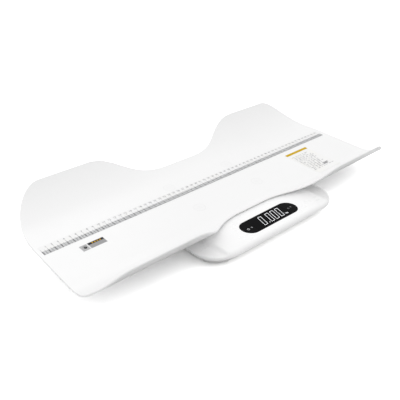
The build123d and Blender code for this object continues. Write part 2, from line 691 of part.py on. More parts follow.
with BuildPart() as digit_module:
    extrude(block(0, WINDOW_Y, DISPLAY_BOARD_TOP_Z, *MODULE_SIZE),
            amount=MODULE_TOP_Z - DISPLAY_BOARD_TOP_Z)
    fillet(digit_module.edges().filter_by(Axis.Z), 1.5)
    chamfer(digit_module.edges().group_by(Axis.Z)[-1], 0.4)
save(digit_module, "digit_module")

with BuildPart() as main_board:
    extrude(block(0, MAIN_BOARD_Y, MAIN_BOARD_Z, *MAIN_BOARD_SIZE), amount=BOARD)
    fillet(main_board.edges().filter_by(Axis.Z), BOARD_CORNER)
    for x, y in MAIN_POSTS:
        extrude(disc(x, y, 0, BOARD_SCREW_RADIUS + HEAD_GAP), amount=CONSOLE_Z, mode=Mode.SUBTRACT)
save(main_board, "main_board")

with BuildPart() as board_chip:
    extrude(block(0, MAIN_BOARD_Y, MAIN_BOARD_TOP_Z, CHIP_SIZE, CHIP_SIZE), amount=CHIP_HEIGHT)
    chamfer(board_chip.edges().group_by(Axis.Z)[-1], 0.3)
save(board_chip, "board_chip")

with BuildPart() as board_connectors:
    for shift_y in (-CONNECTOR_SHIFT_Y, CONNECTOR_SHIFT_Y):
        for x in (-CONNECTOR_X, CONNECTOR_X):
            extrude(block(x, MAIN_BOARD_Y + shift_y, MAIN_BOARD_TOP_Z, *CONNECTOR_SIZE),
                    amount=CONNECTOR_HEIGHT)
save(board_connectors, "board_connectors")

with BuildPart() as display_cable:
    with BuildLine() as ribbon_path:
        FilletPolyline(
            (0, RIBBON_FRONT_Y, DISPLAY_BOARD_Z),
            (0, RIBBON_FRONT_Y, RIBBON_RUN_Z),
            (0, RIBBON_REAR_Y, RIBBON_RUN_Z),
            (0, RIBBON_REAR_Y, MAIN_BOARD_TOP_Z),
            radius=RIBBON_BEND,
        )
    with BuildSketch(Plane(ribbon_path.line @ 0, x_dir=(1, 0, 0), z_dir=ribbon_path.line % 0)):
        Rectangle(RIBBON_WIDTH, RIBBON_THICK)
    sweep(path=ribbon_path.line)
save(display_cable, "display_cable")

# ---------------------------------------------------------------- load cells and feet

for number, (x, y) in enumerate(FOOT_PLACES, start=1):
    with BuildPart() as foot:
        extrude(disc(x, y, FOOT_BOTTOM_Z, FOOT_RADIUS), amount=FOOT_TOP_Z - FOOT_BOTTOM_Z)
        fillet(foot.edges().group_by(Axis.Z)[-1], 1.5)
        extrude(disc(x, y, FOOT_TOP_Z, FOOT_PIVOT_RADIUS), amount=LOAD_CELL_Z - FOOT_TOP_Z)
        extrude(disc(x, y, FOOT_BOTTOM_Z, RUBBER_RADIUS + 0.1), amount=RUBBER_TOP_Z - FOOT_BOTTOM_Z,
                mode=Mode.SUBTRACT)
    save(foot, "foot_" + str(number))

    with BuildPart() as foot_pad:
        extrude(disc(x, y, 0, RUBBER_RADIUS), amount=RUBBER_TOP_Z)
        chamfer(foot_pad.edges().group_by(Axis.Z)[0], 0.5)
    save(foot_pad, "foot_pad_" + str(number))

    with BuildPart() as load_cell:
        with BuildSketch(Plane.XY.offset(LOAD_CELL_Z)):
            with Locations((x, y)):
                RectangleRounded(*LOAD_CELL_SIZE, 3)
                Rectangle(TONGUE_SIZE[0] + 2 * TONGUE_SLOT, TONGUE_SIZE[1] + 2 * TONGUE_SLOT,
                          mode=Mode.SUBTRACT)
                Rectangle(*TONGUE_SIZE)
            with Locations((x, y - TONGUE_SIZE[1] / 2)):
                Rectangle(TONGUE_SIZE[0], 2 * TONGUE_SLOT + 1)
        extrude(amount=LOAD_CELL_THICK)
    save(load_cell, "load_cell_" + str(number))

    with BuildPart() as carrier:
        extrude(block(x, y, CARRIER_BOTTOM_Z, *CARRIER_SIZE), amount=CEILING_Z - CARRIER_BOTTOM_Z)
        fillet(carrier.edges().filter_by(Axis.Z), 4)
        extrude(block(x, y, 0, *CARRIER_OPENING), amount=CONSOLE_Z, mode=Mode.SUBTRACT)
        extrude(block(x, y, 0, LOAD_CELL_SIZE[0] + 2 * FIT_GAP, LOAD_CELL_SIZE[1] + 2 * FIT_GAP),
                amount=LOAD_CELL_Z + LOAD_CELL_THICK, mode=Mode.SUBTRACT)
    save(carrier, "cell_carrier_" + str(number))

    side = 1 if x > 0 else -1
    landing_y = MAIN_BOARD_Y + (CONNECTOR_SHIFT_Y if y > 0 else -CONNECTOR_SHIFT_Y)
    cable_points = [
        (x - side * CARRIER_SIZE[0] / 2, y),
        (side * CABLE_TURN_X, y),
        (side * CABLE_BOARD_X, (y + landing_y) / 2),
        (side * CABLE_BOARD_X, landing_y),
        (side * MAIN_BOARD_SIZE[0] / 2, landing_y),
    ]
    with BuildPart() as cable:
        with BuildLine(Plane.XY.offset(MAIN_BOARD_MID_Z)) as cable_path:
            FilletPolyline(*cable_points, radius=CABLE_BEND)
        with BuildSketch(Plane(cable_path.line @ 0, z_dir=cable_path.line % 0)):
            Circle(CABLE_RADIUS)
        sweep(path=cable_path.line)
    save(cable, "load_cell_cable_" + str(number))

with BuildPart() as gauge_covers:
    for x, y in FOOT_PLACES:
        extrude(block(x, y - TONGUE_SIZE[1] / 2, LOAD_CELL_Z + LOAD_CELL_THICK, *GAUGE_SIZE),
                amount=GAUGE_THICK)
    fillet(gauge_covers.edges().group_by(Axis.Z)[-1], 0.4)
save(gauge_covers, "gauge_covers")

# ---------------------------------------------------------------- tray seats

for number, (x, y) in enumerate(PEG_PLACES, start=1):
    with BuildPart() as seat:
        extrude(disc(x, y, SEAT_BOTTOM_Z, SEAT_RADIUS), amount=SEAT_TOP_Z - SEAT_BOTTOM_Z)
        extrude(disc(x, y, SEAT_BOTTOM_Z, SEAT_BORE), amount=SEAT_TOP_Z, mode=Mode.SUBTRACT)
        fillet(seat.edges().group_by(Axis.Z)[-1].sort_by(SortBy.RADIUS)[-1], 1)
    save(seat, "tray_seat_" + str(number))

# ---------------------------------------------------------------- battery bay

for number in range(4):
    battery_y = BAY_Y + (number - 1.5) * BATTERY_PITCH
    side = 1 if number % 2 == 0 else -1
    shoulder_x = side * (NUB_TIP_X - NUB_LENGTH)
    with BuildPart() as battery:
        with BuildSketch(Plane.YZ.offset(shoulder_x)):
            with Locations((battery_y, BATTERY_AXIS_Z)):
                Circle(BATTERY_RADIUS)
        extrude(amount=-side * BATTERY_LENGTH)
        fillet(battery.edges().filter_by(GeomType.CIRCLE), 0.5)
        with BuildSketch(Plane.YZ.offset(shoulder_x)):
            with Locations((battery_y, BATTERY_AXIS_Z)):
                Circle(NUB_RADIUS)
        extrude(amount=side * NUB_LENGTH)
    save(battery, "battery_" + str(number + 1))

with BuildPart() as contact_plates:
    for number in range(4):
        battery_y = BAY_Y + (number - 1.5) * BATTERY_PITCH
        for side in (-1, 1):
            with BuildSketch(Plane.YZ.offset(side * (BAY_HALF_X - CONTACT_THICK))):
                with Locations((battery_y, BATTERY_AXIS_Z)):
                    Rectangle(CONTACT_SIZE, CONTACT_SIZE)
            extrude(amount=side * CONTACT_THICK)
        side = 1 if number % 2 == 0 else -1
        with BuildSketch(Plane.YZ.offset(side * NUB_TIP_X)):
            with Locations((battery_y, BATTERY_AXIS_Z)):
                Circle(DIMPLE_RADIUS)
        extrude(amount=side * (BAY_HALF_X - CONTACT_THICK - NUB_TIP_X))
save(contact_plates, "contact_plates")

with BuildPart() as contact_springs:
    for number in range(4):
        battery_y = BAY_Y + (number - 1.5) * BATTERY_PITCH
        side = 1 if number % 2 == 0 else -1
        spring_start = -side * (BAY_HALF_X - CONTACT_THICK)
        spring_end = side * (NUB_TIP_X - NUB_LENGTH - BATTERY_LENGTH)
        steps = 2 * SPRING_TURNS
        outer = [
            (
                spring_start + (spring_end - spring_start) * step / steps,
                SPRING_RADIUS
                + (SPRING_TIP_RADIUS - SPRING_RADIUS) * step / steps
                - SPRING_WAVE * (step % 2),
            )
            for step in range(steps + 1)
        ]
        inner = [(along, out - SPRING_WALL) for along, out in reversed(outer)]
        with BuildSketch(Plane.XY.offset(BATTERY_AXIS_Z)):
            with BuildLine():
                Polyline(*[(along, battery_y + out) for along, out in outer + inner], close=True)
            make_face()
        revolve(axis=Axis((0, battery_y, BATTERY_AXIS_Z), (1, 0, 0)))
save(contact_springs, "contact_springs")

with BuildPart() as battery_leads:
    for x in (-LEAD_X, LEAD_X):
        with BuildLine(Plane.YZ.offset(x)) as lead_path:
            FilletPolyline(
                (BAY_Y - BAY_HALF_Y - BAY_WALL, MAIN_BOARD_MID_Z),
                *[(y, MAIN_BOARD_MID_Z + drop) for y, drop in LEAD_SLACK],
                (MAIN_BOARD_Y + MAIN_BOARD_SIZE[1] / 2, MAIN_BOARD_MID_Z),
                radius=LEAD_BEND,
            )
        with BuildSketch(Plane(lead_path.line @ 0, z_dir=lead_path.line % 0)):
            Circle(LEAD_RADIUS)
        sweep(path=lead_path.line)
save(battery_leads, "battery_leads")

with BuildPart() as battery_door:
    door_y = (DOOR_FRONT_Y + DOOR_REAR_Y) / 2
    door_depth = DOOR_REAR_Y - DOOR_FRONT_Y
    extrude(block(0, door_y, BASE_BOTTOM_Z, 2 * DOOR_HALF_X, door_depth), amount=DOOR_TOP_Z - BASE_BOTTOM_Z)
    fillet(battery_door.edges().filter_by(Axis.Z), DOOR_CORNER)
    tab_y = (DOOR_REAR_Y - TAB_REACH + HINGE_Y) / 2
    tab_depth = HINGE_Y - DOOR_REAR_Y + TAB_REACH
    extrude(block(0, tab_y, BASE_BOTTOM_Z + TAB_STEP, 2 * BARREL_HALF, tab_depth),
            amount=DOOR_TOP_Z - BASE_BOTTOM_Z - TAB_STEP)
    with BuildSketch(Plane.YZ):
        with Locations((HINGE_Y, HINGE_Z)):
            Circle(BARREL_RADIUS)
    extrude(amount=BARREL_HALF, both=True)
    with BuildSketch(Plane.YZ):
        with Locations((HINGE_Y, HINGE_Z)):
            Circle(PIN_RADIUS + PIN_RUNNING_GAP)
    extrude(amount=BARREL_HALF, both=True, mode=Mode.SUBTRACT)
    extrude(block(0, sum(LATCH_Y) / 2, DOOR_TOP_Z - 0.5, 2 * LATCH_HALF, LATCH_Y[1] - LATCH_Y[0]),
            amount=LATCH_TOP_Z - DOOR_TOP_Z + 0.5)
    # grip grooves for a thumb
    for groove in range(GRIP_GROOVES):
        groove_y = DOOR_FRONT_Y + GROOVE_SET_BACK + GROOVE_PITCH * groove
        extrude(block(0, groove_y, 0, *GROOVE_SIZE), amount=BASE_BOTTOM_Z + GROOVE_DEPTH,
                mode=Mode.SUBTRACT)
save(battery_door, "battery_door")

with BuildPart() as hinge_pin:
    with BuildSketch(Plane.YZ):
        with Locations((HINGE_Y, HINGE_Z)):
            Circle(PIN_RADIUS)
    extrude(amount=BARREL_HALF + HINGE_SIDE_GAP + EAR_WIDTH, both=True)
save(hinge_pin, "hinge_pin")

# ---------------------------------------------------------------- unit button

with BuildPart() as unit_button:
    extrude(disc(UNIT_X, UNIT_Y, UNIT_BOTTOM_Z, UNIT_RADIUS), amount=UNIT_TOP_Z - UNIT_BOTTOM_Z)
    chamfer(unit_button.edges().group_by(Axis.Z)[0], 0.3)
    extrude(disc(UNIT_X, UNIT_Y, UNIT_FLANGE_Z[0], UNIT_FLANGE), amount=UNIT_FLANGE_Z[1] - UNIT_FLANGE_Z[0])
save(unit_button, "unit_button")

with BuildPart() as unit_button_dome:
    with Locations((UNIT_X, UNIT_Y, UNIT_TOP_Z)):
        Cone(DOME_TIP_RADIUS, DOME_RADIUS, MAIN_BOARD_Z - DOME_FOOT - UNIT_TOP_Z,
             align=(Align.CENTER, Align.CENTER, Align.MIN))
    extrude(disc(UNIT_X, UNIT_Y, MAIN_BOARD_Z - DOME_FOOT, DOME_RADIUS), amount=DOME_FOOT)
save(unit_button_dome, "unit_button_dome")

# ---------------------------------------------------------------- screws


def screw(x, y, head_z, head_radius, head_height, shank_radius, shank_top, upwards):
    """A pan-head screw; the head sits below the shank when it is driven upwards."""
    extrude(disc(x, y, head_z, head_radius), amount=head_height)
    shank_start = head_z + head_height if upwards else shank_top
    shank_length = shank_top - head_z - head_height if upwards else head_z - shank_top
    extrude(disc(x, y, shank_start, shank_radius), amount=shank_length)
    slot_width, slot_depth = DRIVE_SLOT
    slot_length = 1.6 * head_radius
    slot_z = head_z if upwards else head_z + head_height - slot_depth
    extrude(block(x, y, slot_z, slot_length, slot_width), amount=slot_depth, mode=Mode.SUBTRACT)
    extrude(block(x, y, slot_z, slot_width, slot_length), amount=slot_depth, mode=Mode.SUBTRACT)


with BuildPart() as cover_screws:
    for x, y in SCREW_PLACES:
        screw(x, y, HEAD_SEAT_Z - HEAD_HEIGHT, HEAD_RADIUS, HEAD_HEIGHT, SHANK_RADIUS, SHANK_TOP_Z, True)
save(cover_screws, "cover_screws")

with BuildPart() as display_board_screws:
    for x, y in DISPLAY_POSTS:
        screw(x, y, DISPLAY_BOARD_Z - BOARD_SCREW_HEAD_HEIGHT, BOARD_SCREW_HEAD, BOARD_SCREW_HEAD_HEIGHT,
              BOARD_SCREW_RADIUS, DISPLAY_BOARD_TOP_Z + BOARD_SCREW_BITE, True)
save(display_board_screws, "display_board_screws")

with BuildPart() as main_board_screws:
    for x, y in MAIN_POSTS:
        screw(x, y, MAIN_BOARD_TOP_Z, BOARD_SCREW_HEAD, BOARD_SCREW_HEAD_HEIGHT,
              BOARD_SCREW_RADIUS, FLOOR_TOP_Z + 1, False)
save(main_board_screws, "main_board_screws")
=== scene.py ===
"""Looks of the digital baby weighing scale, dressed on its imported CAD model.

Everything is in metres in the part's own frame: +X along the tray, -Y towards the console, +Z up.
Lengths are written in millimetres and turned into metres by MM.
"""

import json
import random
from math import cos, radians, sin, tan

import bmesh
import bpy
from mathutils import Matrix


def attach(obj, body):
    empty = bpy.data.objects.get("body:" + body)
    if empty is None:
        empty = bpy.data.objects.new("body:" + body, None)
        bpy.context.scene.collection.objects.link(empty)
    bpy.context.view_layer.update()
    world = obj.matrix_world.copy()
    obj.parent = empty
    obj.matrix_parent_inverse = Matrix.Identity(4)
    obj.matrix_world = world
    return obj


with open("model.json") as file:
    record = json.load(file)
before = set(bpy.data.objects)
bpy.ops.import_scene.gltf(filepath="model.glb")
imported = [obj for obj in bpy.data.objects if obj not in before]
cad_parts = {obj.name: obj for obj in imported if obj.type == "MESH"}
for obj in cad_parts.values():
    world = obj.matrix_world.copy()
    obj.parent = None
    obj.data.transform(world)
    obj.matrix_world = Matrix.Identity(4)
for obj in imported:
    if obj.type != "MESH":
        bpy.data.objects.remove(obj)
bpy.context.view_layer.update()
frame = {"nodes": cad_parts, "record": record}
NODES = frame["nodes"]
MM = 0.001

# ---------------------------------------------------------------- camera, as in the photograph

CAMERA_PLACE = (-0.6152, -0.6215, 0.5047)
CAMERA_TURN = (60.68, 0.0, -42.46)
CAMERA_LENS = 52.1

camera_data = bpy.data.cameras.new("camera")
camera_data.lens = CAMERA_LENS
camera_data.sensor_width = 36.0
camera_data.clip_start = 0.02
camera = bpy.data.objects.new("camera", camera_data)
camera.location = CAMERA_PLACE
camera.rotation_euler = [radians(turn) for turn in CAMERA_TURN]
bpy.context.collection.objects.link(camera)
bpy.context.scene.camera = camera
bpy.context.scene.view_settings.view_transform = "Standard"

# ---------------------------------------------------------------- material building


class Look:
    """A node material that is built up step by step on the part's own coordinates."""

    def __init__(self, name, metallic=0.0, coat=0.0, specular=0.5):
        self.material = bpy.data.materials.new(name)
        self.material.use_nodes = True
        self.tree = self.material.node_tree
        self.shader = next(n for n in self.tree.nodes if n.type == "BSDF_PRINCIPLED")
        self.shader.inputs["Metallic"].default_value = metallic
        self.shader.inputs["Coat Weight"].default_value = coat
        self.shader.inputs["Coat Roughness"].default_value = 0.06
        self.shader.inputs["Specular IOR Level"].default_value = specular
        self.place = self.node("ShaderNodeTexCoord").outputs["Object"]
        self.normal = None

    def node(self, kind, **settings):
        """Add a node; a setting that names an input fills or links that input."""
        new = self.tree.nodes.new(kind)
        for name, value in settings.items():
            if hasattr(new, name):
                setattr(new, name, value)
            else:
                self.feed(new.inputs[name.replace("_", " ")], value)
        return new

    def feed(self, socket, value):
        """Link an output to an input, or set the input to a plain value."""
        if isinstance(value, bpy.types.NodeSocket):
            self.tree.links.new(value, socket)
        else:
            socket.default_value = value

    def feed_colour(self, socket, colour):
        """Link a colour output to an input, or set the input to a red, green and blue."""
        self.feed(socket, colour if isinstance(colour, bpy.types.NodeSocket) else (*colour, 1.0))

    def math(self, operation, first, second=0.0):
        """One sum, product or other operation on two numbers or outputs."""
        new = self.node("ShaderNodeMath", operation=operation)
        self.feed(new.inputs[0], first)
        self.feed(new.inputs[1], second)
        return new.outputs[0]

    def noise(self, size_mm, detail=3.0, stretch=None, rough=0.5):
        """Noise whose blotches are about size_mm across; stretch scales it along each axis."""
        place = self.place
        if stretch:
            place = self.node("ShaderNodeMapping", Vector=place, Scale=stretch).outputs[0]
        return self.node("ShaderNodeTexNoise", Vector=place, Scale=1.0 / (size_mm * MM),
                         Detail=detail, Roughness=rough).outputs["Fac"]

    def cells(self, size_mm):
        """Distance to the middle of cells that are about size_mm across."""
        return self.node("ShaderNodeTexVoronoi", Vector=self.place,
                         Scale=1.0 / (size_mm * MM)).outputs["Distance"]

    def spread(self, value, low, high, out_low=0.0, out_high=1.0, smooth=True):
        """Map a range onto another one, held at both ends."""
        new = self.node("ShaderNodeMapRange",
                        interpolation_type="SMOOTHSTEP" if smooth else "LINEAR")
        for socket, number in zip(new.inputs[:5], (value, low, high, out_low, out_high)):
            self.feed(socket, number)
        return new.outputs[0]

    def mix(self, amount, first, second):
        """Blend two colours."""
        new = self.node("ShaderNodeMix", data_type="RGBA")
        self.feed(new.inputs["Factor"], amount)
        self.feed_colour(new.inputs[6], first)
        self.feed_colour(new.inputs[7], second)
        return new.outputs[2]

    def axes(self):
        """The x, y and z of the place, as three outputs."""
        return self.node("ShaderNodeSeparateXYZ", Vector=self.place).outputs

    def edges(self, radius_mm):
        """1 on the rounded and sharp edges, 0 on open faces."""
        soft = self.node("ShaderNodeBevel", samples=6, Radius=radius_mm * MM).outputs[0]
        plain = self.node("ShaderNodeNewGeometry").outputs["Normal"]
        alike = self.node("ShaderNodeVectorMath", operation="DOT_PRODUCT")
        self.feed(alike.inputs[0], soft)
        self.feed(alike.inputs[1], plain)
        return self.spread(alike.outputs["Value"], 0.995, 0.86)

    def bump(self, height, depth_mm, strength=1.0):
        """Raise the surface by a height, on top of the bumps there are."""
        new = self.node("ShaderNodeBump", Strength=strength, Distance=depth_mm * MM, Height=height)
        if self.normal:
            self.feed(new.inputs["Normal"], self.normal)
        self.normal = new.outputs[0]

    def done(self, colour, roughness, extra=()):
        """Plug the finished colour, roughness and bump into the shader."""
        self.feed_colour(self.shader.inputs["Base Color"], colour)
        self.feed(self.shader.inputs["Roughness"], roughness)
        if self.normal:
            self.feed(self.shader.inputs["Normal"], self.normal)
        for name, value in extra:
            self.feed(self.shader.inputs[name], value)
        return self.material


def scaled(colour, factor):
    """A colour made darker or lighter, held at white."""
    return tuple(min(1.0, part * factor) for part in colour)


def plastic(name, colour, rough, grain_mm, grain_depth_mm, wear=0.05, coat=0.0, sinks=()):
    """Moulded plastic: faint flow clouds, handling smudges, scuffed edges and a fine skin.

    Each of sinks is a place on both sides of x = 0, its rows in y and a radius, in millimetres:
    there a round sink mark is bumped in as a shallow dish; painted shade darkens the dish and
    paints a faint dark ring at its rim.
    """
    look = Look(name, coat=coat)
    clouds = look.noise(120.0, 2.0)
    smudges = look.noise(22.0, 5.0, rough=0.6)
    scuffs = look.math("MULTIPLY", look.edges(1.2), look.spread(look.noise(3.5, 4.0), 0.42, 0.66))
    shade = look.mix(clouds, scaled(colour, 0.985), scaled(colour, 1.01))
    for centre_x, rows, radius in sinks:
        x, y = look.axes()[:2]
        fold = look.math("SUBTRACT", look.math("ABSOLUTE", x), centre_x * MM)
        for row in rows:
            off = look.math("SUBTRACT", y, row * MM)
            away = look.math("SQRT", look.math("ADD", look.math("MULTIPLY", fold, fold),
                                               look.math("MULTIPLY", off, off)))
            # painted shade: each sink's dish is tinted darker towards its middle and a faint dark
            # ring is painted at its rim, on top of the real dent made by the bump
            dish_and_shade = look.spread(away, 0.0, radius * 1.25 * MM)
            rim_shade = look.spread(away, radius * 0.8 * MM, radius * 1.15 * MM)
            rim_shade = look.math("PINGPONG", rim_shade, 0.5)
            shade = look.mix(look.math("MULTIPLY", rim_shade, 0.30), shade, scaled(colour, 0.62))
            shade = look.mix(look.spread(dish_and_shade, 0.0, 1.0, 0.06, 0.0), shade, scaled(colour, 0.62))
            look.bump(dish_and_shade, 0.05)
    shade = look.mix(look.math("MULTIPLY", scuffs, wear), shade, scaled(colour, 0.55))
    gloss = look.spread(smudges, 0.3, 0.7, rough - 0.04, rough + 0.05)
    gloss = look.math("ADD", gloss, look.math("MULTIPLY", scuffs, min(0.15, 3.0 * wear)))
    look.bump(look.noise(grain_mm, 2.0), grain_depth_mm)
    look.bump(look.noise(14.0, 1.0), 0.03, 0.5)
    return look.done(shade, gloss)


def film(name, colour, rough, fibre=False):
    """Printed film or label stock: a very fine tooth, slight yellowing, worn corners."""
    look = Look(name)
    age = look.noise(30.0, 3.0)
    fleck = look.noise(0.35, 2.0, stretch=(1.0, 3.0, 1.0) if fibre else None)
    warm = (colour[0], colour[1] * 0.995, colour[2] * 0.975)
    shade = look.mix(look.spread(age, 0.35, 0.7), colour, warm)
    shade = look.mix(look.spread(fleck, 0.35, 0.75, 0.0, 0.08), shade, scaled(colour, 0.8))
    shade = look.mix(look.math("MULTIPLY", look.edges(0.4), 0.12), shade, scaled(colour, 0.6))
    look.bump(fleck, 0.01)
    return look.done(shade, look.spread(age, 0.3, 0.7, rough - 0.05, rough + 0.06))


def ink(name, colour, rough, glow=0.0):
    """Screen-printed ink or a lit segment: slightly uneven cover with a soft halftone tooth."""
    look = Look(name, specular=0.12)
    cover = look.noise(0.8, 3.0)
    grain = look.noise(9.0, 2.0)
    shade = look.mix(look.spread(cover, 0.3, 0.8, 0.0, 0.35), colour, scaled(colour, 1.25))
    shade = look.mix(look.spread(grain, 0.4, 0.8, 0.0, 0.25), shade, scaled(colour, 0.85))
    look.bump(cover, 0.006)
    extra = [("Emission Color", shade), ("Emission Strength", glow)] if glow else ()
    return look.done(shade, look.spread(cover, 0.3, 0.7, rough - 0.05, rough + 0.08), extra)


def window(name, colour, fingerprints):
    """Dark polished window: almost black, with hairlines and dull fingertip marks in the gloss."""
    look = Look(name, specular=0.02)
    hair = look.noise(0.5, 2.0, stretch=(0.12, 2.5, 1.0))
    smear = look.noise(9.0, 5.0, rough=0.7)
    shade = look.mix(look.spread(smear, 0.4, 0.8, 0.0, 0.4), colour, scaled(colour, 1.5))
    shade = look.mix(look.math("MULTIPLY", look.edges(0.3), 0.4), shade, (0.03, 0.03, 0.032))
    gloss = look.spread(smear, 0.45, 0.75, 0.10, 0.10 + fingerprints)
    gloss = look.math("ADD", gloss, look.spread(hair, 0.6, 0.8, 0.0, 0.05))
    look.bump(hair, 0.002)
    return look.done(shade, gloss)


def rubber(name, colour):
    """Moulded rubber: matt, finely pitted, dusty grey along its edges."""
    look = Look(name, specular=0.35)
    pits = look.cells(0.7)
    bloom = look.noise(6.0, 5.0, rough=0.65)
    dust = look.math("ADD", look.spread(bloom, 0.5, 0.8, 0.0, 0.35),
                     look.math("MULTIPLY", look.edges(0.8), 0.35))
    shade = look.mix(dust, colour, scaled(colour, 2.2))
    look.bump(pits, 0.03)
    look.bump(look.noise(3.0, 2.0), 0.05)
    return look.done(shade, look.spread(bloom, 0.3, 0.7, 0.62, 0.8))


def metal(name, colour, rough, brushed=(1.0, 14.0, 14.0), stain=0.3):
    """Plated or stamped metal: drawn lines, tarnish blotches and bright rubbed edges."""
    look = Look(name, metallic=1.0)
    lines = look.noise(1.6, 3.0, stretch=brushed)
    tarnish = look.noise(5.0, 5.0, rough=0.6)
    shade = look.mix(look.spread(lines, 0.3, 0.7, 0.0, 0.45), colour, scaled(colour, 0.82))
    shade = look.mix(look.spread(tarnish, 0.5, 0.8, 0.0, stain), shade, (0.42, 0.38, 0.33))
    shade = look.mix(look.math("MULTIPLY", look.edges(0.4), 0.6), shade, scaled(colour, 1.3))
    look.bump(lines, 0.01)
    return look.done(shade, look.spread(tarnish, 0.3, 0.75, rough, rough + 0.16))


def board(name, colour):
    """Solder-masked laminate: copper runs under the mask, woven glass and a few vias."""
    look = Look(name, coat=0.3)
    x, y = look.axes()[:2]
    sway = look.math("MULTIPLY", look.noise(24.0, 1.0), 0.02)
    lanes = look.math("PINGPONG", look.math("ADD", x, sway), 1.1 * MM)
    copper = look.spread(lanes, 0.35 * MM, 0.5 * MM)
    busy = look.spread(look.noise(13.0, 2.0), 0.48, 0.56)
    copper = look.math("MULTIPLY", copper, busy)
    holes = look.spread(look.cells(5.5), 0.045, 0.07, 1.0, 0.0)
    weave = look.math("MULTIPLY", look.math("PINGPONG", x, 0.5 * MM),
                      look.math("PINGPONG", y, 0.5 * MM))
    shade = look.mix(copper, colour, (colour[0] * 1.9 + 0.02, colour[1] * 1.6, colour[2] * 1.35))
    shade = look.mix(holes, shade, (0.72, 0.66, 0.45))
    shade = look.mix(look.math("MULTIPLY", look.edges(0.5), 0.6), shade, (0.55, 0.52, 0.33))
    look.bump(copper, 0.03)
    look.bump(look.math("MULTIPLY", weave, 4.0e6), 0.004)
    return look.done(shade, look.spread(look.noise(8.0, 3.0), 0.3, 0.7, 0.26, 0.4))


def wrapped_can(name, colour):
    """Battery can in a shrink sleeve: a bright band near one end and a rolled, rubbed edge."""
    look = Look(name, metallic=0.35, coat=0.4)
    x = look.axes()[0]
    band = look.spread(look.math("PINGPONG", look.math("ADD", x, 9.0 * MM), 17.0 * MM),
                       12.2 * MM, 12.5 * MM)
    rub = look.noise(2.5, 5.0, stretch=(0.3, 1.0, 1.0))
    shade = look.mix(band, colour, (0.70, 0.71, 0.73))
    shade = look.mix(look.spread(rub, 0.55, 0.8, 0.0, 0.35), shade, (0.45, 0.46, 0.48))
    shade = look.mix(look.math("MULTIPLY", look.edges(0.6), 0.8), shade, (0.75, 0.75, 0.76))
    look.bump(rub, 0.02)
    return look.done(shade, look.spread(rub, 0.35, 0.7, 0.22, 0.4))


def sleeve(name, colour):
    """Cable insulation: faint drawing lines, dust, slight sheen."""
    look = Look(name)
    dust = look.noise(4.0, 4.0)
    lines = look.noise(0.9, 2.0, stretch=(0.4, 0.4, 2.0))
    shade = look.mix(look.spread(dust, 0.4, 0.75, 0.0, 0.5), colour, scaled(colour, 1.3))
    shade = look.mix(look.spread(lines, 0.5, 0.8, 0.0, 0.3), shade, scaled(colour, 0.7))
    look.bump(lines, 0.02)
    return look.done(shade, look.spread(dust, 0.3, 0.7, 0.42, 0.58))


WHITE = (0.90, 0.90, 0.90)
BASE_WHITE = (0.95, 0.95, 0.95)
BOSS_X = 68.0
BOSS_ROWS = (-22.5, 54.0)
BOSS_RADIUS = 10.0

LOOKS = {
    # the tray's sink marks are dented by a bump and also carry painted shade in their dishes and
    # rims
    "tray_shell": plastic("tray_white", WHITE, 0.32, 0.6, 0.004,
                          sinks=[(BOSS_X, BOSS_ROWS, BOSS_RADIUS)]),
    "base_shell": plastic("base_white", BASE_WHITE, 0.30, 0.5, 0.005, wear=0.012),
    "base_underside": plastic("base_textured", (0.84, 0.84, 0.83), 0.55, 0.9, 0.05, wear=0.12),
    "ruler_print": film("ruler_film", (0.87, 0.87, 0.875), 0.38),
    "info_print": film("sticker_stock", (0.80, 0.80, 0.81), 0.40),
    "label_print": film("label_stock", (0.895, 0.895, 0.89), 0.42, fibre=True),
    "smoked_window": window("smoked_window", (0.003, 0.003, 0.0035), 0.16),
    "key_cap": window("key_black", (0.004, 0.004, 0.0045), 0.24),
    "button_grey": plastic("button_grey", (0.45, 0.46, 0.48), 0.48, 0.5, 0.02, wear=0.25),
    "dark_rubber": rubber("dark_rubber", (0.12, 0.12, 0.13)),
    "circuit_board": board("circuit_board", (0.05, 0.25, 0.12)),
    "black_component": plastic("black_epoxy", (0.03, 0.03, 0.03), 0.62, 0.3, 0.02, wear=0.3),
    "connector_plastic": plastic("connector_cream", (0.86, 0.84, 0.76), 0.45, 0.5, 0.02, wear=0.2),
    "foot_plastic": plastic("foot_grey", (0.70, 0.71, 0.72), 0.50, 0.8, 0.03, wear=0.2),
    "load_cell_steel": metal("load_cell_steel", (0.62, 0.62, 0.62), 0.32),
    "gauge_sealant": rubber("gauge_sealant", (0.88, 0.88, 0.85)),
    "cable_sleeve": sleeve("cable_sleeve", (0.55, 0.55, 0.56)),
    "battery_sleeve": wrapped_can("battery_sleeve", (0.16, 0.22, 0.36)),
    "contact_metal": metal("contact_nickel", (0.80, 0.80, 0.78), 0.16, brushed=(14.0, 1.0, 14.0)),
    "screw_steel": metal("screw_zinc", (0.55, 0.55, 0.56), 0.30, brushed=(4.0, 4.0, 4.0),
                         stain=0.45),
}

for subpart in frame["record"]["subparts"]:
    node = NODES[subpart["node"]]
    node.data.materials.clear()
    node.data.materials.append(LOOKS[subpart["material_slot"]])

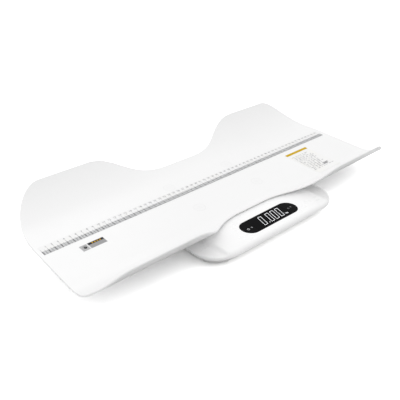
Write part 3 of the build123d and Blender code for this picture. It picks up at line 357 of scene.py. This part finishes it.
INKS = {
    "ruler_grey": ink("ink_ruler_grey", (0.71, 0.715, 0.72), 0.5),
    "ruler_dark": ink("ink_ruler_dark", (0.12, 0.12, 0.125), 0.5),
    "ruler_pale": ink("ink_ruler_pale", (0.16, 0.16, 0.165), 0.5),
    "panel_dark": ink("ink_panel_dark", (0.022, 0.022, 0.024), 0.45),
    "panel_grey": ink("ink_panel_grey", (0.33, 0.33, 0.335), 0.4),
    "panel_pale": ink("ink_panel_pale", (0.45, 0.45, 0.455), 0.4),
    "amber": ink("ink_amber", (0.62, 0.34, 0.02), 0.45),
    "gold": ink("ink_gold", (0.58, 0.37, 0.002), 0.5),
    "row_grey": ink("ink_row_grey", (0.44, 0.44, 0.445), 0.5),
    "lit": ink("segment_lit", (0.80, 0.82, 0.84), 0.3, glow=0.95),
    "ghost": ink("segment_ghost", (0.014, 0.014, 0.016), 0.25),
    "icon_bright": ink("icon_bright", (0.55, 0.56, 0.58), 0.35),
    "icon_dim": ink("icon_dim", (0.26, 0.26, 0.27), 0.35),
}

# ---------------------------------------------------------------- printed and lit marks

SLOPE = radians(4.2)
RULER_Y = 25.0
RULER_Z = 39.0
LIP_START_Y = -58.0
LIP_RADIUS = 66.0
LIP_RUN = (LIP_START_Y - RULER_Y) / cos(SLOPE)  # where the floor turns up into the lip
LIP_CENTRE_Y = LIP_START_Y - LIP_RADIUS * sin(SLOPE)
LIP_CENTRE_Z = RULER_Z + (LIP_START_Y - RULER_Y) * tan(SLOPE) + LIP_RADIUS * cos(SLOPE)
CONSOLE_Z = 29.0
FILM_TOP = 0.25
SINK_IN = 0.02
INK_LIFT = 0.03


def on_tray(x, run, lift):
    """A place on the tray; run is measured along its surface from the ruler's zero line."""
    if run >= LIP_RUN:
        y = RULER_Y + run * cos(SLOPE) - lift * sin(SLOPE)
        return (x * MM, y * MM, (RULER_Z + run * sin(SLOPE) + lift * cos(SLOPE)) * MM)
    angle = SLOPE - (LIP_RUN - run) / LIP_RADIUS
    reach = LIP_RADIUS - lift
    y = LIP_CENTRE_Y + reach * sin(angle)
    return (x * MM, y * MM, (LIP_CENTRE_Z - reach * cos(angle)) * MM)


def on_console(x, y, lift):
    """A place above the console's flat top."""
    return (x * MM, y * MM, (CONSOLE_Z + lift) * MM)


class Print:
    """Thin closed marks gathered into one mesh."""

    def __init__(self, name, surface, base, lift=INK_LIFT):
        self.name = name
        self.surface = surface
        self.low = base - SINK_IN
        self.high = base + lift
        self.mesh = bmesh.new()

    def patch(self, outline):
        """A filled outline, given anticlockwise."""
        low = [self.mesh.verts.new(self.surface(a, b, self.low)) for a, b in outline]
        high = [self.mesh.verts.new(self.surface(a, b, self.high)) for a, b in outline]
        self.mesh.faces.new(high)
        self.mesh.faces.new(low[::-1])
        count = len(outline)
        for i in range(count):
            j = (i + 1) % count
            self.mesh.faces.new((low[i], low[j], high[j], high[i]))

    def bar(self, left, right, front, back):
        """A rectangle between two places along x and two across."""
        self.patch([(left, front), (right, front), (right, back), (left, back)])

    def stroke(self, points, width):
        """A line of even width through the points."""
        for (ax, ay), (bx, by) in zip(points, points[1:]):
            length = ((bx - ax) ** 2 + (by - ay) ** 2) ** 0.5
            ox, oy = (by - ay) / length * width / 2, -(bx - ax) / length * width / 2
            self.patch([(ax + ox, ay + oy), (bx + ox, by + oy),
                        (bx - ox, by - oy), (ax - ox, ay - oy)])

    def arc(self, x, y, radius, width, start, end, steps=20):
        """A ring or part of one, between two angles in degrees."""
        angles = [radians(start + (end - start) * i / steps) for i in range(steps + 1)]
        for a, b in zip(angles, angles[1:]):
            self.patch([(x + r * cos(t), y + r * sin(t)) for t, r in
                        ((a, radius - width / 2), (a, radius + width / 2),
                         (b, radius + width / 2), (b, radius - width / 2))])

    def words(self, text, x, y, height):
        """Filled numerals, centred on a place."""
        curve = bpy.data.curves.new("numerals", "FONT")
        curve.body = text
        curve.size = height * 1.4
        curve.align_x = "CENTER"
        curve.align_y = "CENTER"
        curve.resolution_u = 3
        holder = bpy.data.objects.new("numerals", curve)
        flat = bpy.data.meshes.new_from_object(holder)
        spots = [(x + v.co.x, y + v.co.y) for v in flat.vertices]
        low = [self.mesh.verts.new(self.surface(a, b, self.low)) for a, b in spots]
        high = [self.mesh.verts.new(self.surface(a, b, self.high)) for a, b in spots]
        used = {}
        for face in flat.polygons:
            ring = list(face.vertices)
            if face.normal.z < 0:
                ring.reverse()
            self.mesh.faces.new([high[i] for i in ring])
            self.mesh.faces.new([low[i] for i in reversed(ring)])
            for a, b in zip(ring, ring[1:] + ring[:1]):
                used[(a, b)] = used.get((a, b), 0) + 1
        for a, b in used:
            if (b, a) not in used:
                self.mesh.faces.new((low[a], low[b], high[b], high[a]))
        bpy.data.objects.remove(holder)
        bpy.data.curves.remove(curve)
        bpy.data.meshes.remove(flat)

    def finish(self, ink_name, body):
        """Turn the marks into an object that rides on a body."""
        data = bpy.data.meshes.new(self.name)
        self.mesh.to_mesh(data)
        self.mesh.free()
        data.materials.append(INKS[ink_name])
        piece = bpy.data.objects.new(self.name, data)
        bpy.context.collection.objects.link(piece)
        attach(piece, body)
        return piece


# The ruler: a pale band of millimetre ticks with a broad stroke at each centimetre, and a
# ladder of thin lines and numbers behind it
RULER_LEFT = -322.5
RULER_LONG = 637
BAND_HALF = 4.3
CM_HALF = 0.65  # half the width of the strokes on the band
HALF_CM_HALF = 0.35
MM_HALF = 0.11
CM_LINE = (0.17, 9.8)  # half the width of the ladder's lines and how far back they run
HALF_CM_LINE = (0.12, 7.0)
NUMBER_RUN = 12.3
NUMBER_HEIGHT = 4.0

band = Print("ruler_band", on_tray, FILM_TOP)
band.bar(RULER_LEFT - 0.6, RULER_LEFT + RULER_LONG + 0.6, -BAND_HALF, BAND_HALF)
band.finish("ruler_grey", "tray")

ticks = Print("ruler_ticks", on_tray, FILM_TOP + INK_LIFT)
ladder = Print("ruler_long_ticks", on_tray, FILM_TOP)
for mark in range(RULER_LONG + 1):
    x = RULER_LEFT + mark
    half_width = CM_HALF if mark % 10 == 0 else (HALF_CM_HALF if mark % 5 == 0 else MM_HALF)
    ticks.bar(x - half_width, x + half_width, -BAND_HALF, BAND_HALF)
    if mark % 5 == 0:
        line_half, line_end = HALF_CM_LINE if mark % 10 else CM_LINE
        ladder.bar(x - line_half, x + line_half, BAND_HALF, line_end)
ticks.finish("ruler_dark", "tray")
ladder.finish("ruler_pale", "tray")

numbers = Print("ruler_numbers", on_tray, FILM_TOP)
for count in range(1, RULER_LONG // 10 + 1):
    numbers.words(str(count), RULER_LEFT + 10 * count, NUMBER_RUN, NUMBER_HEIGHT)
numbers.finish("ruler_pale", "tray")

# The small sticker: a pale square with a dial, a dark strip with amber marks, a grey panel
STICKER_FRONT, STICKER_BACK = -31.5, -18.0
PANEL_LEFT, PANEL_RIGHT = -262.8, -235.9
SQUARE_LEFT, SQUARE_RIGHT = -276.1, -264.6
STRIP_FRONT = -23.0
DIAL = (-269.4, -25.0)

dark_panel = Print("sticker_strip", on_tray, FILM_TOP)
dark_panel.bar(PANEL_LEFT, PANEL_RIGHT, STRIP_FRONT, STICKER_BACK)
dark_panel.finish("panel_dark", "tray")
grey_panel = Print("sticker_panels", on_tray, FILM_TOP)
grey_panel.bar(PANEL_LEFT, PANEL_RIGHT, STICKER_FRONT, STRIP_FRONT - 0.1)
grey_panel.finish("panel_grey", "tray")
square = Print("sticker_square", on_tray, FILM_TOP)
square.bar(SQUARE_LEFT, SQUARE_RIGHT, STICKER_FRONT, STICKER_BACK)
square.finish("panel_pale", "tray")
dial = Print("sticker_dial", on_tray, FILM_TOP + INK_LIFT)
dial.arc(*DIAL, 1.5, 2.2, 0, 360)
dial.arc(*DIAL, 4.0, 0.4, 20, 160)
dial.finish("panel_dark", "tray")
amber = Print("sticker_graduations", on_tray, FILM_TOP + INK_LIFT)
for x in (-255.2, -250.8, -246.4, -242.0):
    amber.bar(x - 1.0, x + 1.0, -22.2, -19.2)
amber.finish("amber", "tray")

# The side label: a gold bar over rows of plain blocks of uneven length
ROWS = 14
ROW_PITCH = 4.2

gold = Print("label_bar", on_tray, FILM_TOP)
gold.bar(180.7, 241.3, -22.4, -16.2)
gold.finish("gold", "tray")
rows = Print("label_rows", on_tray, FILM_TOP)
lengths = random.Random(7)
row_run = -30.5
for row in range(ROWS):
    x, row_end = 183.0 + lengths.uniform(0.0, 3.0), lengths.uniform(226.0, 240.0)
    while x < row_end - 3.0:
        block_end = min(x + lengths.uniform(2.5, 10.0), row_end)
        rows.bar(x, block_end, row_run - lengths.uniform(1.0, 1.9), row_run)
        x = block_end + lengths.uniform(1.2, 4.5)
    row_run -= ROW_PITCH
rows.finish("row_grey", "tray")
stamp = Print("label_mark", on_tray, FILM_TOP + INK_LIFT)
stamp.bar(217.5, 229.0, -83.0, -77.5)
stamp.finish("panel_grey", "tray")

# The display: four slanted digits, a decimal point, unlit middle segments
DIGIT_FOOT_Y = -124.0
DIGIT_HEIGHT = 23.0
DIGIT_WIDTH = 7.2
DIGIT_SLANT = 0.305
DIGIT_FEET_X = (-22.4, -6.0, 5.6, 17.5)
SEGMENT = 0.62


def slanted(foot_x, along, up):
    """A place in a digit that leans to the right."""
    return (foot_x + along + up * DIGIT_SLANT, DIGIT_FOOT_Y + up)


def segments(foot_x, which):
    """Outlines of a digit's segments, each a bar with pointed ends."""
    w, h, s, gap = DIGIT_WIDTH, DIGIT_HEIGHT, SEGMENT, 0.06
    level = {"top": h - s / 2, "middle": h / 2, "foot": s / 2}
    upright = {
        "left_top": (s / 2, h / 2, h - s / 2), "right_top": (w - s / 2, h / 2, h - s / 2),
        "left_foot": (s / 2, s / 2, h / 2), "right_foot": (w - s / 2, s / 2, h / 2),
    }
    for name in which:
        if name in level:
            up = level[name]
            ends = (gap, w - gap)
            shape = [(ends[0], up), (ends[0] + s / 2, up - s / 2), (ends[1] - s / 2, up - s / 2),
                     (ends[1], up), (ends[1] - s / 2, up + s / 2), (ends[0] + s / 2, up + s / 2)]
        else:
            along, low, high = upright[name]
            low, high = low + gap, high - gap
            shape = [(along, low), (along + s / 2, low + s / 2), (along + s / 2, high - s / 2),
                     (along, high), (along - s / 2, high - s / 2), (along - s / 2, low + s / 2)]
        yield [slanted(foot_x, a, u) for a, u in shape]


lit = Print("display_digits", on_console, 0.0)
ghost = Print("display_unlit_segments", on_console, 0.0)
ZERO = ("top", "foot", "left_top", "right_top", "left_foot", "right_foot")
for foot_x in DIGIT_FEET_X:
    for shape in segments(foot_x, ZERO):
        lit.patch(shape)
    for shape in segments(foot_x, ("middle",)):
        ghost.patch(shape)
lit.arc(-9.5, -122.6, 0.4, 0.8, 0, 360, 12)
lit.words("kg", 31.6, -121.6, 3.6)
lit.finish("lit", "base")
ghost.finish("ghost", "base")

# Key symbols: power ring and hold on the left, a ring and a plus on the right
power = Print("left_key_symbols", on_console, 0.0)
POWER_X, POWER_Y = -50.5, -115.0
power.arc(POWER_X, POWER_Y, 1.9, 0.7, 120, 420)
power.stroke([(POWER_X, POWER_Y), (POWER_X + 0.6, POWER_Y + 2.6)], 0.7)
power.arc(-42.5, -114.5, 1.2, 0.5, 0, 360)
power.finish("icon_bright", "left_key")
signs = Print("right_key_symbols", on_console, 0.0)
signs.arc(44.5, -114.5, 1.4, 0.5, 0, 360)
PLUS_X, PLUS_Y = 51.0, -113.5
signs.stroke([(PLUS_X - 1.7, PLUS_Y), (PLUS_X + 1.7, PLUS_Y)], 0.6)
signs.stroke([(PLUS_X, PLUS_Y - 1.6), (PLUS_X, PLUS_Y + 1.6)], 0.6)
signs.finish("icon_dim", "right_key")

# ---------------------------------------------------------------- floor, world and lamps

FLOOR_LEVEL = 0.55  # how light the paper is for the light that it gives back to the part
FLOOR_SEEN = 1.45  # added for the camera alone, so that the open paper is pure white
FLOOR_MIRRORED = 0.5  # added where glossy surfaces reflect the paper
WORLD_LEVEL = 0.90

floor_mesh = bpy.data.meshes.new("floor")
floor_mesh.from_pydata([(-6, -6, 0), (6, -6, 0), (6, 6, 0), (-6, 6, 0)], [], [(0, 1, 2, 3)])
floor = bpy.data.objects.new("floor", floor_mesh)
bpy.context.collection.objects.link(floor)
floor_look = bpy.data.materials.new("floor_paper")
floor_look.use_nodes = True
nodes, links = floor_look.node_tree.nodes, floor_look.node_tree.links
nodes.clear()


def times(number, output):
    """An output of the floor's nodes multiplied by a number."""
    product = nodes.new("ShaderNodeMath")
    product.operation = "MULTIPLY"
    product.inputs[1].default_value = number
    links.new(output, product.inputs[0])
    return product.outputs[0]


def plus(first, second):
    """The sum of two outputs, or of an output and a number."""
    total = nodes.new("ShaderNodeMath")
    links.new(first, total.inputs[0])
    if isinstance(second, float):
        total.inputs[1].default_value = second
    else:
        links.new(second, total.inputs[1])
    return total.outputs[0]


ray = nodes.new("ShaderNodeLightPath")
seen = plus(times(FLOOR_SEEN, ray.outputs["Is Camera Ray"]),
            times(FLOOR_MIRRORED, ray.outputs["Is Glossy Ray"]))
tooth = nodes.new("ShaderNodeTexNoise")
tooth.inputs["Scale"].default_value = 900.0
paper = nodes.new("ShaderNodeBsdfDiffuse")
links.new(plus(plus(seen, FLOOR_LEVEL), times(0.01, tooth.outputs["Fac"])), paper.inputs["Color"])
links.new(paper.outputs[0], nodes.new("ShaderNodeOutputMaterial").inputs["Surface"])
floor_mesh.materials.append(floor_look)

world = bpy.data.worlds.new("studio")
world.use_nodes = True
bpy.context.scene.world = world
nodes, links = world.node_tree.nodes, world.node_tree.links
sky = nodes["Background"]
sky.inputs["Color"].default_value = (1.0, 1.0, 1.0, 1.0)
ray = nodes.new("ShaderNodeLightPath")
seen = nodes.new("ShaderNodeMath")
seen.operation = "MAXIMUM"
links.new(ray.outputs["Is Camera Ray"], seen.inputs[0])
links.new(ray.outputs["Is Glossy Ray"], seen.inputs[1])
level = nodes.new("ShaderNodeMapRange")
level.inputs["To Min"].default_value = WORLD_LEVEL
level.inputs["To Max"].default_value = 1.0
links.new(seen.outputs[0], level.inputs["Value"])
links.new(level.outputs["Result"], sky.inputs["Strength"])


def lamp(name, place, target, size, power):
    """A soft square lamp aimed at a place."""
    data = bpy.data.lights.new(name, "AREA")
    data.shape = "SQUARE"
    data.size = size
    data.energy = power
    lamp_object = bpy.data.objects.new(name, data)
    lamp_object.location = place
    aim = bpy.data.objects.new(name + "_aim", None)
    aim.location = target
    bpy.context.collection.objects.link(lamp_object)
    bpy.context.collection.objects.link(aim)
    track = lamp_object.constraints.new("TRACK_TO")
    track.target = aim
    track.track_axis = "TRACK_NEGATIVE_Z"
    track.up_axis = "UP_Y"


lamp("key_lamp", (-0.7, -0.75, 2.2), (0.0, 0.0, 0.0), 1.2, 5.5)
lamp("back_lamp", (0.3, 1.6, 1.6), (0.0, 0.0, 0.0), 1.5, 5.0)
